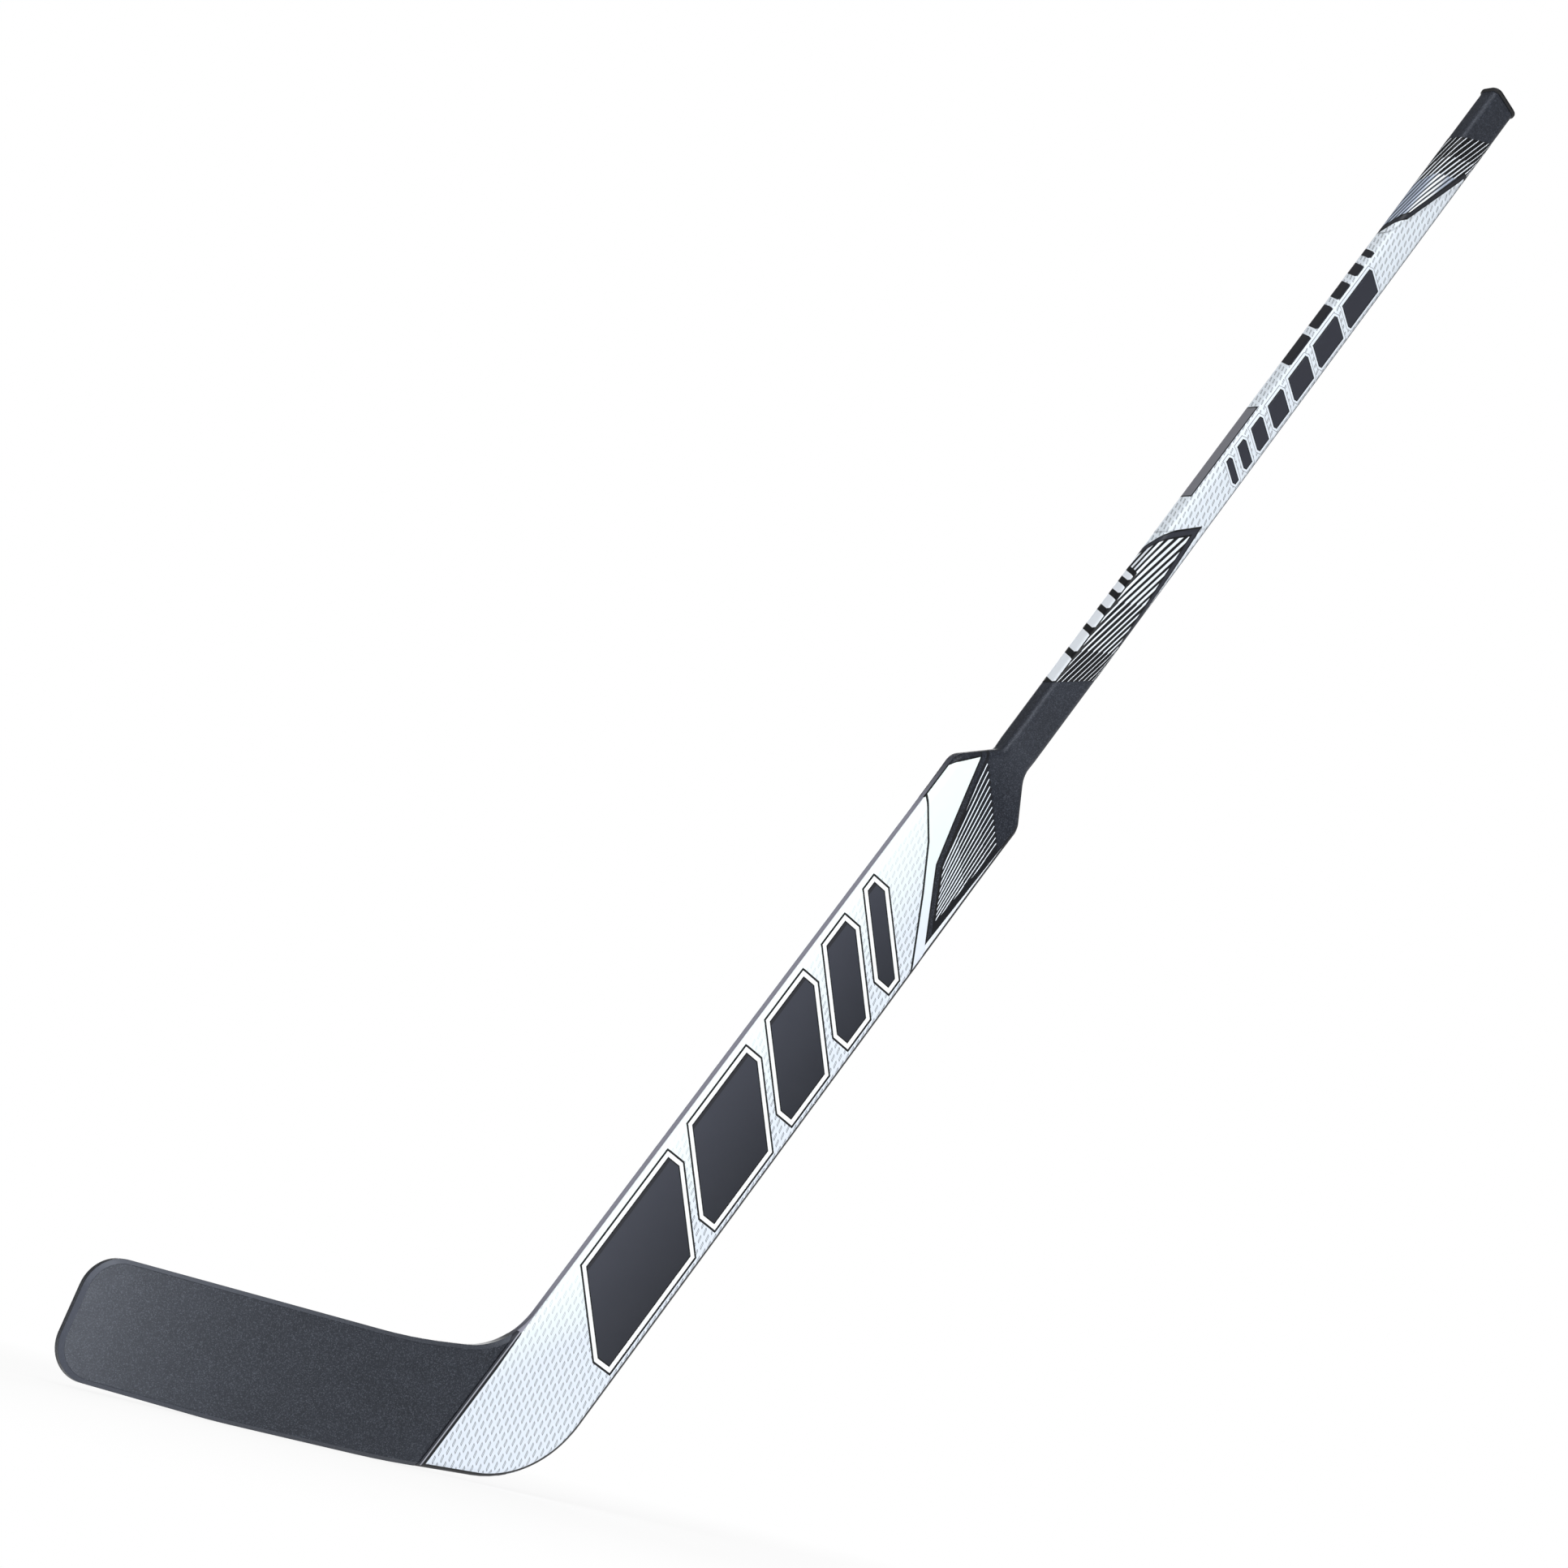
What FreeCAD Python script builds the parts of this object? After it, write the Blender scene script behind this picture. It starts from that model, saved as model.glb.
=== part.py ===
import FreeCAD, Part
import math
import os

Vector = FreeCAD.Vector

# A hockey goalie stick in its playing pose, in millimetres.
# The sole stands on Z = 0 and the blade lies along X with its toe at -X.
# The backhand face looks toward -Y, and the shaft leans back toward +X.
# The origin is the centre of the flat of the sole.

# Whole stick
lie_angle = 63.0                # degrees between the shaft and the ice
stick_length = 1433.5           # heel corner to butt end, along the paddle's heel edge
overrun = 40.0                  # how far cutting shapes reach past what they cut
same_way = 0.001                # unit normals nearer than this point the same way

# Shaft tube, its spigot in the paddle and the foam stopper
shaft_width = 30.0
shaft_thickness = 20.0
corner_share = 0.44             # radius of the long corners of shaft and paddle, of paddle_thickness
shaft_wall = 2.0
spigot_length = 190.0
spigot_lap = 15.0               # thick wall above the joint, between the two bores
lap_ledge = 0.4                 # ledge where the spigot's bore runs into that wall
foam_length = 150.0

# Butt plug
plug_rim = 4.0                  # height of the cap above the tube
plug_overhang = 1.4
plug_chamfer = 1.2
plug_depth = 32.0
plug_wall = 1.6

# Paddle
paddle_width = 84.0
paddle_offset = 1.6             # paddle's middle, toward the toe from the shaft's axis
paddle_length = 635.0           # heel corner to the shoulder corners
shoulder_rise = 32.5            # shoulder corners to the shaft, along the stick
shoulder_corner_radius = 16.0
toe_root_radius = 9.0           # where the toe-side shoulder runs into the shaft
heel_root_radius = 22.0
collar_length = 14.0            # skin on the shaft above the shoulder
flare_length = 110.0            # stretch over which the paddle thickens to the shaft
paddle_thickness = 13.4         # from the heel up to the flare
paddle_skin = 1.2
paddle_rim = 4.0                # solid laminate round the paddle's edge

# Heel joint
heel_radius = 93.0
seam_outset = 5.0               # seam between paddle and blade, outside the line of the toe edge
heel_block_length = 150.0       # from the heel corner up the paddle
tongue_thickness = 6.0
tongue_height = 44.0
tongue_in_blade = 55.0
tongue_in_paddle = 45.0

# Blade
blade_length = 386.0            # heel corner to toe corner along the sole, before rounding
heel_reach = 197.0              # heel corner to the centre of the sole's flat
blade_height = 85.7             # at the centre of the sole's flat
top_rise_angle = 0.85           # degrees, top edge toward the toe
toe_rake_angle = 9.6            # degrees, toe edge off the vertical
toe_low_radius = 24.5
toe_high_radius = 27.0
throat_radius = 64.0            # between the top edge and the paddle
throat_lead_length = 71.5       # stretch of the top edge that already rises toward the throat
throat_lead_angle = 6.5         # degrees
throat_lead_radius = 450.0
blade_thickness_heel = 11.5
blade_thickness_toe = 10.0
blade_edge_chamfer = 2.8
blade_skin = 1.1
blade_rim = 3.2                 # solid laminate round the blade's edge
curve_start = 150.0             # from the heel corner
curve_depth = 12.0              # how far the toe lies behind the straight of the blade
rib_width = 2.4

# Sole: a flat with a gentle rocker at each end
sole_flat_length = 100.0
toe_lift_angle = 2.4            # degrees
toe_lift_radius = 600.0
heel_lift_angle = 3.0           # degrees
heel_lift_radius = 800.0

# Printed films
film_thickness = 0.15
film_seat = 0.05                # glue under the shaft's films
film_margin = 0.1               # bare strip inside the paddle's outline
film_sole_gap = 1.2             # bare strip above the sole
film_shoulder_height = 683.0    # film's slanted upper end, at the paddle's toe edge
film_tip_height = 495.0         # the same end, at the paddle's heel edge
film_end_shares = (0.097, 0.319, 0.830, 0.938)    # ends of the shaft's films, up the bare shaft
film_end_angles = (46.0, 49.0, 73.0, 39.0)        # degrees, their slants across the face

# Places worked out from the sizes above
corner_radius = corner_share * paddle_thickness
toe_edge = -paddle_width / 2 - paddle_offset
heel_edge = paddle_width + toe_edge
half_shaft = shaft_width / 2
seam_across = toe_edge - seam_outset
joint_height = paddle_length + shoulder_rise + collar_length
flare_height = joint_height - flare_length
tube_top = stick_length - plug_rim
spigot_end = joint_height - spigot_length
spigot_width = shaft_width - 2 * paddle_rim
deep = 2 * shaft_thickness      # Y size that passes right through the stick
lean = FreeCAD.Rotation(Vector(0, 1, 0), 90 - lie_angle)
up_stick = lean.multVec(Vector(0, 0, 1))
across_stick = lean.multVec(Vector(1, 0, 0))
heel_corner = Vector(heel_reach, 0, 0)
axis_foot = heel_corner - across_stick * heel_edge
curve_start_x = heel_reach - curve_start
toe_x = heel_reach - blade_length


def on_stick(height, across):
    """Point at a height along the stick and a distance across it from the shaft's axis."""
    return axis_foot + up_stick * height + across_stick * across


def tilted(degrees):
    """Unit vector in the XZ plane, turned up from +X."""
    return Vector(math.cos(math.radians(degrees)), 0, math.sin(math.radians(degrees)))


def crossing(point, direction, other_point, other_direction):
    """Where two lines in the XZ plane meet."""
    gap = other_point - point
    turn = direction.z * other_direction.x - direction.x * other_direction.z
    run = (gap.z * other_direction.x - gap.x * other_direction.z) / turn
    return point + direction * run


def tangent_arc(start, direction, end):
    """Arc from start, along the direction there, to end."""
    chord = end - start
    angle = chord.getAngle(direction)
    side = direction - chord * (direction.dot(chord) / chord.dot(chord))
    middle = start + chord * 0.5 + side.normalize() * (chord.Length / 2 * math.tan(angle / 2))
    return Part.Arc(start, middle, end).toShape()


def rounded_face(corners):
    """Flat face through (point, radius) corners, each rounded by an arc of its radius."""
    starts = []
    ends = []
    arcs = []
    for index, (corner, radius) in enumerate(corners):
        back = (corners[index - 1][0] - corner).normalize()
        ahead = (corners[(index + 1) % len(corners)][0] - corner).normalize()
        half_angle = back.getAngle(ahead) / 2
        reach = radius / math.tan(half_angle)
        starts.append(corner + back * reach)
        ends.append(corner + ahead * reach)
        middle = corner + (back + ahead).normalize() * (radius / math.sin(half_angle) - radius)
        arcs.append(Part.Arc(starts[-1], middle, ends[-1]).toShape() if radius else None)
    edges = []
    for index, arc in enumerate(arcs):
        if arc:
            edges.append(arc)
        edges.append(Part.makeLine(ends[index], starts[(index + 1) % len(corners)]))
    return Part.Face(Part.Wire(edges))


def through(face):
    """The XZ face as a solid right through the stick's thickness."""
    solid = face.extrude(Vector(0, deep, 0))
    solid.translate(Vector(0, -deep / 2, 0))
    return solid


def grown(face, distance):
    """The face with its outline moved outward, or inward for a negative distance."""
    return face.makeOffset2D(distance, join=2) if distance else face


def stand(shape):
    """An upright shape on the shaft's axis, leaned into the playing pose."""
    placed = shape.copy()
    placed.Placement = FreeCAD.Placement(axis_foot, lean).multiply(placed.Placement)
    return placed


def stick_block(low, high, left, right):
    """Block between two heights along the stick and two distances across it."""
    return stand(Part.makeBox(right - left, deep, high - low, Vector(left, -deep / 2, low)))


def toe_side():
    """Everything on the blade's side of the seam, as a block."""
    return stick_block(-blade_length, paddle_length, -2 * blade_length, seam_across)


def face_rims(solid, open_ends):
    """Edges round the front and back faces, without those of ends that face the given ways."""
    rims = []
    for edge in solid.Edges:
        slopes = []
        for face in solid.ancestorsOfType(edge, Part.Face):
            low_u, high_u, low_v, high_v = face.ParameterRange
            normal = face.normalAt((low_u + high_u) / 2, (low_v + high_v) / 2)
            opens = any(normal.isEqual(end, same_way) for end in open_ends)
            slopes.append(-1 if opens else round(abs(normal.y)))
        if sorted(slopes) == [0, 1]:
            rims.append(edge)
    return rims


def throat_corners():
    """Bend where the top edge starts to rise, and the corner it then makes with the paddle's edge."""
    top_line = tilted(-top_rise_angle)
    edge_foot = on_stick(0, toe_edge)
    level_corner = crossing(Vector(0, 0, blade_height), top_line, edge_foot, up_stick)
    lead = level_corner - top_line * throat_lead_length
    return lead, crossing(lead, tilted(throat_lead_angle), edge_foot, up_stick)


def side_face():
    """Outline of the whole stick seen from the face, with the shaft cut short above the joint."""
    toe_turn = toe_lift_radius * math.tan(math.radians(toe_lift_angle) / 2)
    heel_turn = heel_lift_radius * math.tan(math.radians(heel_lift_angle) / 2)
    flat_toe = Vector(-sole_flat_length / 2 - toe_turn, 0, 0)
    flat_heel = Vector(sole_flat_length / 2 + heel_turn, 0, 0)
    toe_line = tilted(90 - toe_rake_angle)
    top_line = tilted(-top_rise_angle)
    toe_low = crossing(flat_toe, tilted(-toe_lift_angle), Vector(toe_x, 0, 0), toe_line)
    toe_high = crossing(Vector(0, 0, blade_height), top_line, Vector(toe_x, 0, 0), toe_line)
    heel = crossing(flat_heel, tilted(heel_lift_angle), heel_corner, up_stick)
    lead, throat = throat_corners()
    root_height = paddle_length + shoulder_rise
    shaft_end = joint_height + overrun
    return rounded_face([
        (toe_low, toe_low_radius),
        (flat_toe, toe_lift_radius),
        (flat_heel, heel_lift_radius),
        (heel, heel_radius),
        (on_stick(paddle_length, heel_edge), shoulder_corner_radius),
        (on_stick(root_height, half_shaft), heel_root_radius),
        (on_stick(shaft_end, half_shaft), 0),
        (on_stick(shaft_end, -half_shaft), 0),
        (on_stick(root_height, -half_shaft), toe_root_radius),
        (on_stick(paddle_length, toe_edge), shoulder_corner_radius),
        (throat, throat_radius),
        (lead, throat_lead_radius),
        (toe_high, toe_high_radius)])


def throat_end_height():
    """Height along the stick where the throat's curve runs out into the paddle's toe edge."""
    lead, corner = throat_corners()
    half_angle = up_stick.getAngle(lead - corner) / 2
    return (corner - on_stick(0, toe_edge)).Length + throat_radius / math.tan(half_angle)


def paddle_face(side):
    """Part of the side outline on the heel side of the seam, with a strip to spare along the seam."""
    left = seam_across - 2 * corner_radius
    low, high = -paddle_width, joint_height + overrun
    strip = Part.Face(Part.makePolygon([
        on_stick(low, left), on_stick(low, paddle_width),
        on_stick(high, paddle_width), on_stick(high, left), on_stick(low, left)]))
    return side.common(strip).removeSplitter().Faces[0]


def blade_face(side):
    """Part of the side outline on the toe side of the seam, with a strip to spare along the seam."""
    right = seam_across + 2 * corner_radius
    low, high = -blade_length, throat_end_height()
    field = Part.Face(Part.makePolygon([
        on_stick(high, right), on_stick(low, right),
        on_stick(low, -2 * blade_length), on_stick(high, -2 * blade_length), on_stick(high, right)]))
    return side.common(field).removeSplitter().Faces[0]


def closed_face(runs):
    """Flat face between two runs of edges, closed by a line at each end."""
    front, back = runs
    closing = [Part.makeLine(front[0].Vertexes[0].Point, back[0].Vertexes[0].Point),
               Part.makeLine(front[-1].Vertexes[-1].Point, back[-1].Vertexes[-1].Point)]
    return Part.Face(Part.Wire(Part.sortEdges(front + back + closing)[0]))


def thickness_wall(growth):
    """Solid between the paddle's two faces: level up from the heel, then a flare to the shaft."""
    runs = []
    for sign in (-1, 1):
        face_shift = Vector(0, sign * (paddle_thickness / 2 + growth), 0)
        shaft_shift = Vector(0, sign * (shaft_thickness / 2 + growth), 0)
        foot = on_stick(-paddle_width, -2 * paddle_width) + face_shift
        flare = on_stick(flare_height, -2 * paddle_width) + face_shift
        joint = on_stick(joint_height, -2 * paddle_width) + shaft_shift
        runs.append([Part.makeLine(foot, flare), tangent_arc(flare, up_stick, joint)])
    return closed_face(runs).extrude(across_stick * (3 * paddle_width))


def paddle_form(side, growth):
    """The paddle with round edges, its whole surface moved outward by the growth."""
    face = paddle_face(grown(side, growth))
    body = through(face).common(thickness_wall(growth)).removeSplitter()
    rims = face_rims(body, [up_stick, across_stick * -1])
    return body.makeFillet(corner_radius + growth, rims).cut(toe_side())


def paddle_hollow(side, rim, skin):
    """Room inside the paddle, behind a rim round its edge and a skin on each face."""
    face = paddle_face(grown(side, -rim))
    return through(face).common(thickness_wall(-skin)).removeSplitter().cut(toe_side())


def blade_line(offset, toe_offset):
    """Edges of the blade seen from above: straight at the heel, then an arc to the toe."""
    root = Vector(heel_reach + overrun, offset, 0)
    start = Vector(curve_start_x, offset, 0)
    toe = Vector(toe_x, curve_depth + toe_offset, 0)
    return [Part.makeLine(root, start), tangent_arc(start, start - root, toe)]


def blade_wall(front, back):
    """Upright solid between two lines of the blade."""
    wall = closed_face([front, back]).extrude(Vector(0, 0, 2 * blade_height + overrun))
    wall.translate(Vector(0, 0, -overrun))
    return wall


def blade_body(side, rim, skin):
    """The curved blade with square edges, behind a rim round its edge and a skin on each face."""
    heel = blade_thickness_heel / 2 - skin
    toe = blade_thickness_toe / 2 - skin
    wall = blade_wall(blade_line(-heel, -toe), blade_line(heel, toe))
    return through(blade_face(grown(side, -rim))).common(wall).removeSplitter()


def blade_form(side):
    """The curved blade with bevelled edges."""
    body = blade_body(side, 0, 0)
    rims = face_rims(body, [up_stick, across_stick])
    return body.makeChamfer(blade_edge_chamfer, rims).common(toe_side())


def section(width, thickness, radius):
    """Rounded rectangle across the shaft."""
    x, y = width / 2, thickness / 2
    return rounded_face([(Vector(*xy), radius) for xy in ((-x, -y), (x, -y), (x, y), (-x, y))])


def shaft_bar(inset, low, high):
    """Upright bar with the shaft's section, its sides moved inward by the inset."""
    bar = section(shaft_width - 2 * inset, shaft_thickness - 2 * inset, corner_radius - inset)
    bar.translate(Vector(0, 0, low))
    return bar.extrude(Vector(0, 0, high - low))


def shaft_film(first):
    """Film round the bare shaft from one of the slanted ends to the next."""
    reach = shaft_width
    low, high = (
        joint_height + share * (tube_top - joint_height) for share in film_end_shares[first:first + 2])
    low_drop, high_drop = (
        reach * math.tan(math.radians(angle)) for angle in film_end_angles[first:first + 2])
    ring = shaft_bar(-film_seat - film_thickness, low - low_drop, high + high_drop)
    ring = ring.cut(shaft_bar(-film_seat, low - 2 * low_drop, high + 2 * high_drop))
    slot = Part.Face(Part.makePolygon([
        Vector(-reach, 0, low - low_drop), Vector(reach, 0, low + low_drop),
        Vector(reach, 0, high + high_drop), Vector(-reach, 0, high - high_drop),
        Vector(-reach, 0, low - low_drop)]))
    return stand(ring.common(through(slot)))


def butt_plug():
    """Cap with a rounded rim and a hollow stem that fills the tube's bore."""
    cap = shaft_bar(-plug_overhang, tube_top, stick_length)
    upright = Vector(0, 0, 1)
    cap = cap.makeChamfer(plug_chamfer, [
        edge for edge in cap.Edges if abs(edge.tangentAt(edge.FirstParameter).dot(upright)) < same_way])
    stem = shaft_bar(shaft_wall, tube_top - plug_depth, tube_top)
    hollow = shaft_bar(shaft_wall + plug_wall, tube_top - plug_depth, tube_top)
    return stand(cap.fuse(stem.cut(hollow)))


def paddle_back_film(side, outer):
    """Film on the paddle's back face, ending on a slant below the shoulder."""
    low, high = film_tip_height, film_shoulder_height
    field = Part.Face(Part.makePolygon([
        on_stick(-paddle_width, seam_across + film_margin), on_stick(-paddle_width, heel_edge),
        on_stick(low, heel_edge), on_stick(high, toe_edge), on_stick(high, seam_across + film_margin),
        on_stick(-paddle_width, seam_across + film_margin)]))
    raised = side.translated(Vector(0, 0, film_sole_gap))
    region = through(grown(side, -film_margin).common(raised).common(field))
    region.translate(Vector(0, deep / 2, 0))
    return paddle_form(side, film_thickness).cut(outer).common(region)


side = side_face()
paddle = paddle_form(side, 0)
cavity = paddle_hollow(side, paddle_rim, paddle_skin)
blade = blade_form(side)
blade_cavity = blade_body(side, blade_rim, blade_skin).common(toe_side())
front_half = Part.makeBox(
    2 * stick_length, deep, 2 * stick_length, Vector(-stick_length, -deep, -overrun))
half_spigot = spigot_width / 2

# Shaft: the tube and its spigot in one piece
spigot = cavity.common(stick_block(spigot_end, joint_height, -half_spigot, half_spigot))
half_bore = half_spigot - shaft_wall
bore = paddle_hollow(side, paddle_rim + shaft_wall, paddle_skin + shaft_wall)
bore = bore.common(stick_block(spigot_end, joint_height, -half_bore, half_bore))
lap_width = 2 * (half_bore - lap_ledge)
lap_depth = shaft_thickness - 2 * (paddle_skin + shaft_wall + lap_ledge)
lap_corner = Vector(-lap_width / 2, -lap_depth / 2, joint_height)
lap_bore = stand(Part.makeBox(lap_width, lap_depth, spigot_lap, lap_corner))
tube_bore = stand(shaft_bar(shaft_wall, joint_height + spigot_lap, tube_top))
tube = stand(shaft_bar(0, joint_height, tube_top)).fuse(spigot)
nodes = {}
nodes["shaft_tube"] = tube.cut(bore.fuse(lap_bore)).cut(tube_bore)
nodes["shaft_foam"] = bore.common(
    stick_block(spigot_end, spigot_end + foam_length, -half_bore, half_bore))
nodes["butt_plug"] = butt_plug()

# Heel joint
tongue_foot = crossing(Vector(0, 0, blade_height / 2), tilted(0), on_stick(0, toe_edge), up_stick)
tongue_corner = tongue_foot - Vector(tongue_in_blade, tongue_thickness / 2, tongue_height / 2)
tongue_length = tongue_in_blade + tongue_in_paddle
tongue = Part.makeBox(tongue_length, tongue_thickness, tongue_height, tongue_corner)
nodes["blade_tongue"] = tongue
nodes["heel_block"] = cavity.common(
    stick_block(-paddle_width, heel_block_length, -paddle_width, paddle_width)).cut(tongue)

# Paddle
shell = paddle.cut(cavity).cut(tongue)
nodes["paddle_front_skin"] = shell.common(front_half)
nodes["paddle_back_skin"] = shell.cut(front_half)
nodes["paddle_core_toe_side"] = cavity.common(
    stick_block(heel_block_length, joint_height, -paddle_width, -half_spigot))
nodes["paddle_core_heel_side"] = cavity.common(
    stick_block(heel_block_length, joint_height, half_spigot, paddle_width))
nodes["paddle_core_middle"] = cavity.common(
    stick_block(heel_block_length, spigot_end, -half_spigot, half_spigot))

# Blade
blade_front = blade_wall(blade_line(-deep, -deep), blade_line(0, 0))
blade_shell = blade.cut(blade_cavity)
nodes["blade_front_skin"] = blade_shell.common(blade_front)
nodes["blade_back_skin"] = blade_shell.cut(blade_front)
rib_low = (blade_height - rib_width) / 2
rib_slab = Part.makeBox(2 * blade_length, 2 * deep, rib_width, Vector(-blade_length, -deep, rib_low))
low_slab = Part.makeBox(
    2 * blade_length, 2 * deep, rib_low + overrun, Vector(-blade_length, -deep, -overrun))
blade_fill = blade_cavity.cut(tongue)
nodes["blade_rib"] = blade_fill.common(rib_slab)
nodes["blade_core_lower"] = blade_fill.common(low_slab)
nodes["blade_core_upper"] = blade_fill.cut(rib_slab).cut(low_slab)

# Printed films
nodes["paddle_back_film"] = paddle_back_film(side, paddle)
nodes["paddle_front_film"] = nodes["paddle_back_film"].mirror(Vector(0, 0, 0), Vector(0, 1, 0))
for index, name in enumerate(("shaft_lower_film", "shaft_main_film", "shaft_top_film")):
    nodes[name] = shaft_film(index)

os.makedirs("parts", exist_ok=True)
for name, shape in nodes.items():
    solids = shape.removeSplitter().Solids
    piece = solids[0] if len(solids) == 1 else Part.Compound(solids)
    piece.exportStep("parts/" + name + ".step")
    print(name, len(solids), "solids", round(piece.Volume), "mm3", piece.isValid())
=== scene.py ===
import math

import bpy
from mathutils import Matrix, Vector


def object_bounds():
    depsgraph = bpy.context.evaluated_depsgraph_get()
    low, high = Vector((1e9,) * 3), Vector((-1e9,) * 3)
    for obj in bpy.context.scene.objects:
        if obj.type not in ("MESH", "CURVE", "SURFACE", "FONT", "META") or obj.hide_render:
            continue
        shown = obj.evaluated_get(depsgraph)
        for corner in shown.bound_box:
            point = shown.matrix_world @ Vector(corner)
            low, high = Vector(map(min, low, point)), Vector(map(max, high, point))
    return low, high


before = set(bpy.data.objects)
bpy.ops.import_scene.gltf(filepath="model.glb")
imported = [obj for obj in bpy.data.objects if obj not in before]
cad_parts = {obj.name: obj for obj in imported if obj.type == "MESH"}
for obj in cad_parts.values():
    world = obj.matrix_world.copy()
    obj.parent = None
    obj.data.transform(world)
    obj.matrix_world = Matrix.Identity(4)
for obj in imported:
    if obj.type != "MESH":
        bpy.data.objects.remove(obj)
cad_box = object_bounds()

# The stick's own directions: across it from toe to heel, through it from front to back, and up its axis.
# Every printed measure below is in mm in these directions, from the foot of the shaft's axis. The corner
# stretch is how much further the paddle's film runs for each mm that a rounded corner falls back.
mm_per_metre = 1000.0
lean_angle = 27.0
axis_foot = (161.003, 0.0, 18.341)
shaft_half_width = 15.2
shaft_half_thickness = 10.2
paddle_half_thickness = 6.85
corner_stretch = 0.55
throat_height = 76.0
shaft_joint = 681.5

# Inks that several finishes share, and the cool tint of their gleam.
black_ink = "#121316"
# The mid grey is painted sheen on the paddle's edges.
edge_sheen_grey = "#90909d"
rim_charcoal = "#31333c"
cool_gleam = "#dfe6f4"


def ink(code):
    """The linear colour of an sRGB hex value."""
    shares = [int(code[start:start + 2], 16) / 255.0 for start in (1, 3, 5)]
    return tuple(s / 12.92 if s <= 0.04045 else ((s + 0.055) / 1.055) ** 2.4 for s in shares) + (1.0,)


def node(tree, kind, *inputs, out=0, named=None, **settings):
    """Adds a shader node with its settings, feeds its sockets with values or links, and gives one of its
    outputs."""
    made = tree.nodes.new("ShaderNode" + kind)
    for name, value in settings.items():
        setattr(made, name, value)
    for key, value in list(enumerate(inputs)) + list((named or {}).items()):
        if isinstance(value, bpy.types.NodeSocket):
            tree.links.new(value, made.inputs[key])
        else:
            made.inputs[key].default_value = value
    return made.outputs[out] if made.outputs else made


def finish_named(name):
    """An empty material of that name, and its tree."""
    made = bpy.data.materials.new(name)
    made.use_nodes = True
    made.node_tree.nodes.clear()
    return made, made.node_tree


# The depth of the fine grain, in metres, and how often the rounding of an edge is sampled.
grain_depth = 0.0001
edge_samples = 8


def coat_over(tree, colour, roughness, grain, relief=0.25, soft_edge=0.0004, **sockets):
    """The clear surface over a colour: its gloss, its fine grain as bump, and its edges rounded by so many
    metres."""
    softened = node(tree, "Bevel", soft_edge, samples=edge_samples)
    bumped = node(tree, "Bump", named={
        "Height": grain,
        "Distance": grain_depth,
        "Strength": relief,
        "Normal": softened,
    })
    surface = {"Base Color": colour, "Roughness": roughness, "Normal": bumped}
    surface.update({name.replace("_", " "): value for name, value in sockets.items()})
    node(tree, "OutputMaterial", node(tree, "BsdfPrincipled", named=surface))


# Places on the stick

def stick_place(tree):
    """A point's place on the stick, in mm: across, through and up."""
    turn = Matrix.Rotation(-math.radians(lean_angle), 3, "Y")
    placed = node(tree, "Mapping", node(tree, "TexCoord", out=3), vector_type="POINT", named={
        "Location": -(turn @ Vector(axis_foot)),
        "Rotation": (0.0, -math.radians(lean_angle), 0.0),
        "Scale": (mm_per_metre,) * 3,
    })
    return node(tree, "SeparateXYZ", placed).node.outputs[:]


def wrapped_across(tree, across, through):
    """The distance round the shaft from the middle of its front face, as on the film laid flat."""
    past_edge = node(tree, "Math", shaft_half_width, node(tree, "Math", across, operation="ABSOLUTE"),
                     operation="SUBTRACT")
    face = node(tree, "Math", through, operation="SIGN")
    turned = node(tree, "Math", face, past_edge, through, operation="MULTIPLY_ADD")
    girth = node(tree, "Math", turned, shaft_half_width + shaft_half_thickness, operation="ADD")
    return node(tree, "Math", girth, node(tree, "Math", across, operation="SIGN"), operation="MULTIPLY")


def unrolled_across(tree, across, through):
    """The distance across the paddle's film as laid flat, where it wraps round the rounded corners."""
    depth = node(tree, "Math", paddle_half_thickness, node(tree, "Math", through, operation="ABSOLUTE"),
                 operation="SUBTRACT")
    wrapped = node(tree, "Math", depth, 0.0, operation="MAXIMUM")
    outward = node(tree, "Math", node(tree, "Math", across, operation="SIGN"), corner_stretch,
                   operation="MULTIPLY")
    return node(tree, "Math", wrapped, outward, across, operation="MULTIPLY_ADD")


def joined(tree, measures, rule):
    """Several measures taken as one by a rule: the MINIMUM or the MAXIMUM of them all."""
    whole = measures[0]
    for measure in measures[1:]:
        whole = node(tree, "Math", whole, measure, operation=rule)
    return whole


def edge(tree, place, start, end):
    """How far a point lies to the right of the line from start to end."""
    run = Vector(end) - Vector(start)
    run.normalize()
    offset = run.x * start[1] - run.y * start[0]
    return node(tree, "VectorMath", place, (run.y, -run.x, offset), out=1, operation="DOT_PRODUCT")


def runs(tree, place, points):
    """How far a point lies to the right of each straight run of a line."""
    return [edge(tree, place, *ends) for ends in zip(points[:-1], points[1:])]


def panel(tree, place, corners):
    """How far a point lies outside a panel, negative inside, with its corners listed anticlockwise."""
    return joined(tree, runs(tree, place, corners + corners[:1]), "MAXIMUM")


sides = {"<": "LESS_THAN", ">": "GREATER_THAN"}


def paint(tree, under, over, *limits):
    """Lays one ink over another wherever every measure is on the named side of its limit."""
    tests = [node(tree, "Math", measure, limit, operation=sides[side]) for measure, side, limit in limits]
    where = joined(tree, tests, "MINIMUM")
    return node(tree, "Mix", where, out=2, named={6: under, 7: over}, data_type="RGBA")


def faded(tree, measure, first, last, start, end):
    """An ink that turns from the first to the last while a measure goes from start to end."""
    share = node(tree, "MapRange", measure, start, end, 0.0, 1.0)
    return node(tree, "Mix", share, out=2, named={6: ink(first), 7: ink(last)}, data_type="RGBA")


# Printed motifs

# How steep a bar's cut corners are.
cut_rise = 0.9


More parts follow.
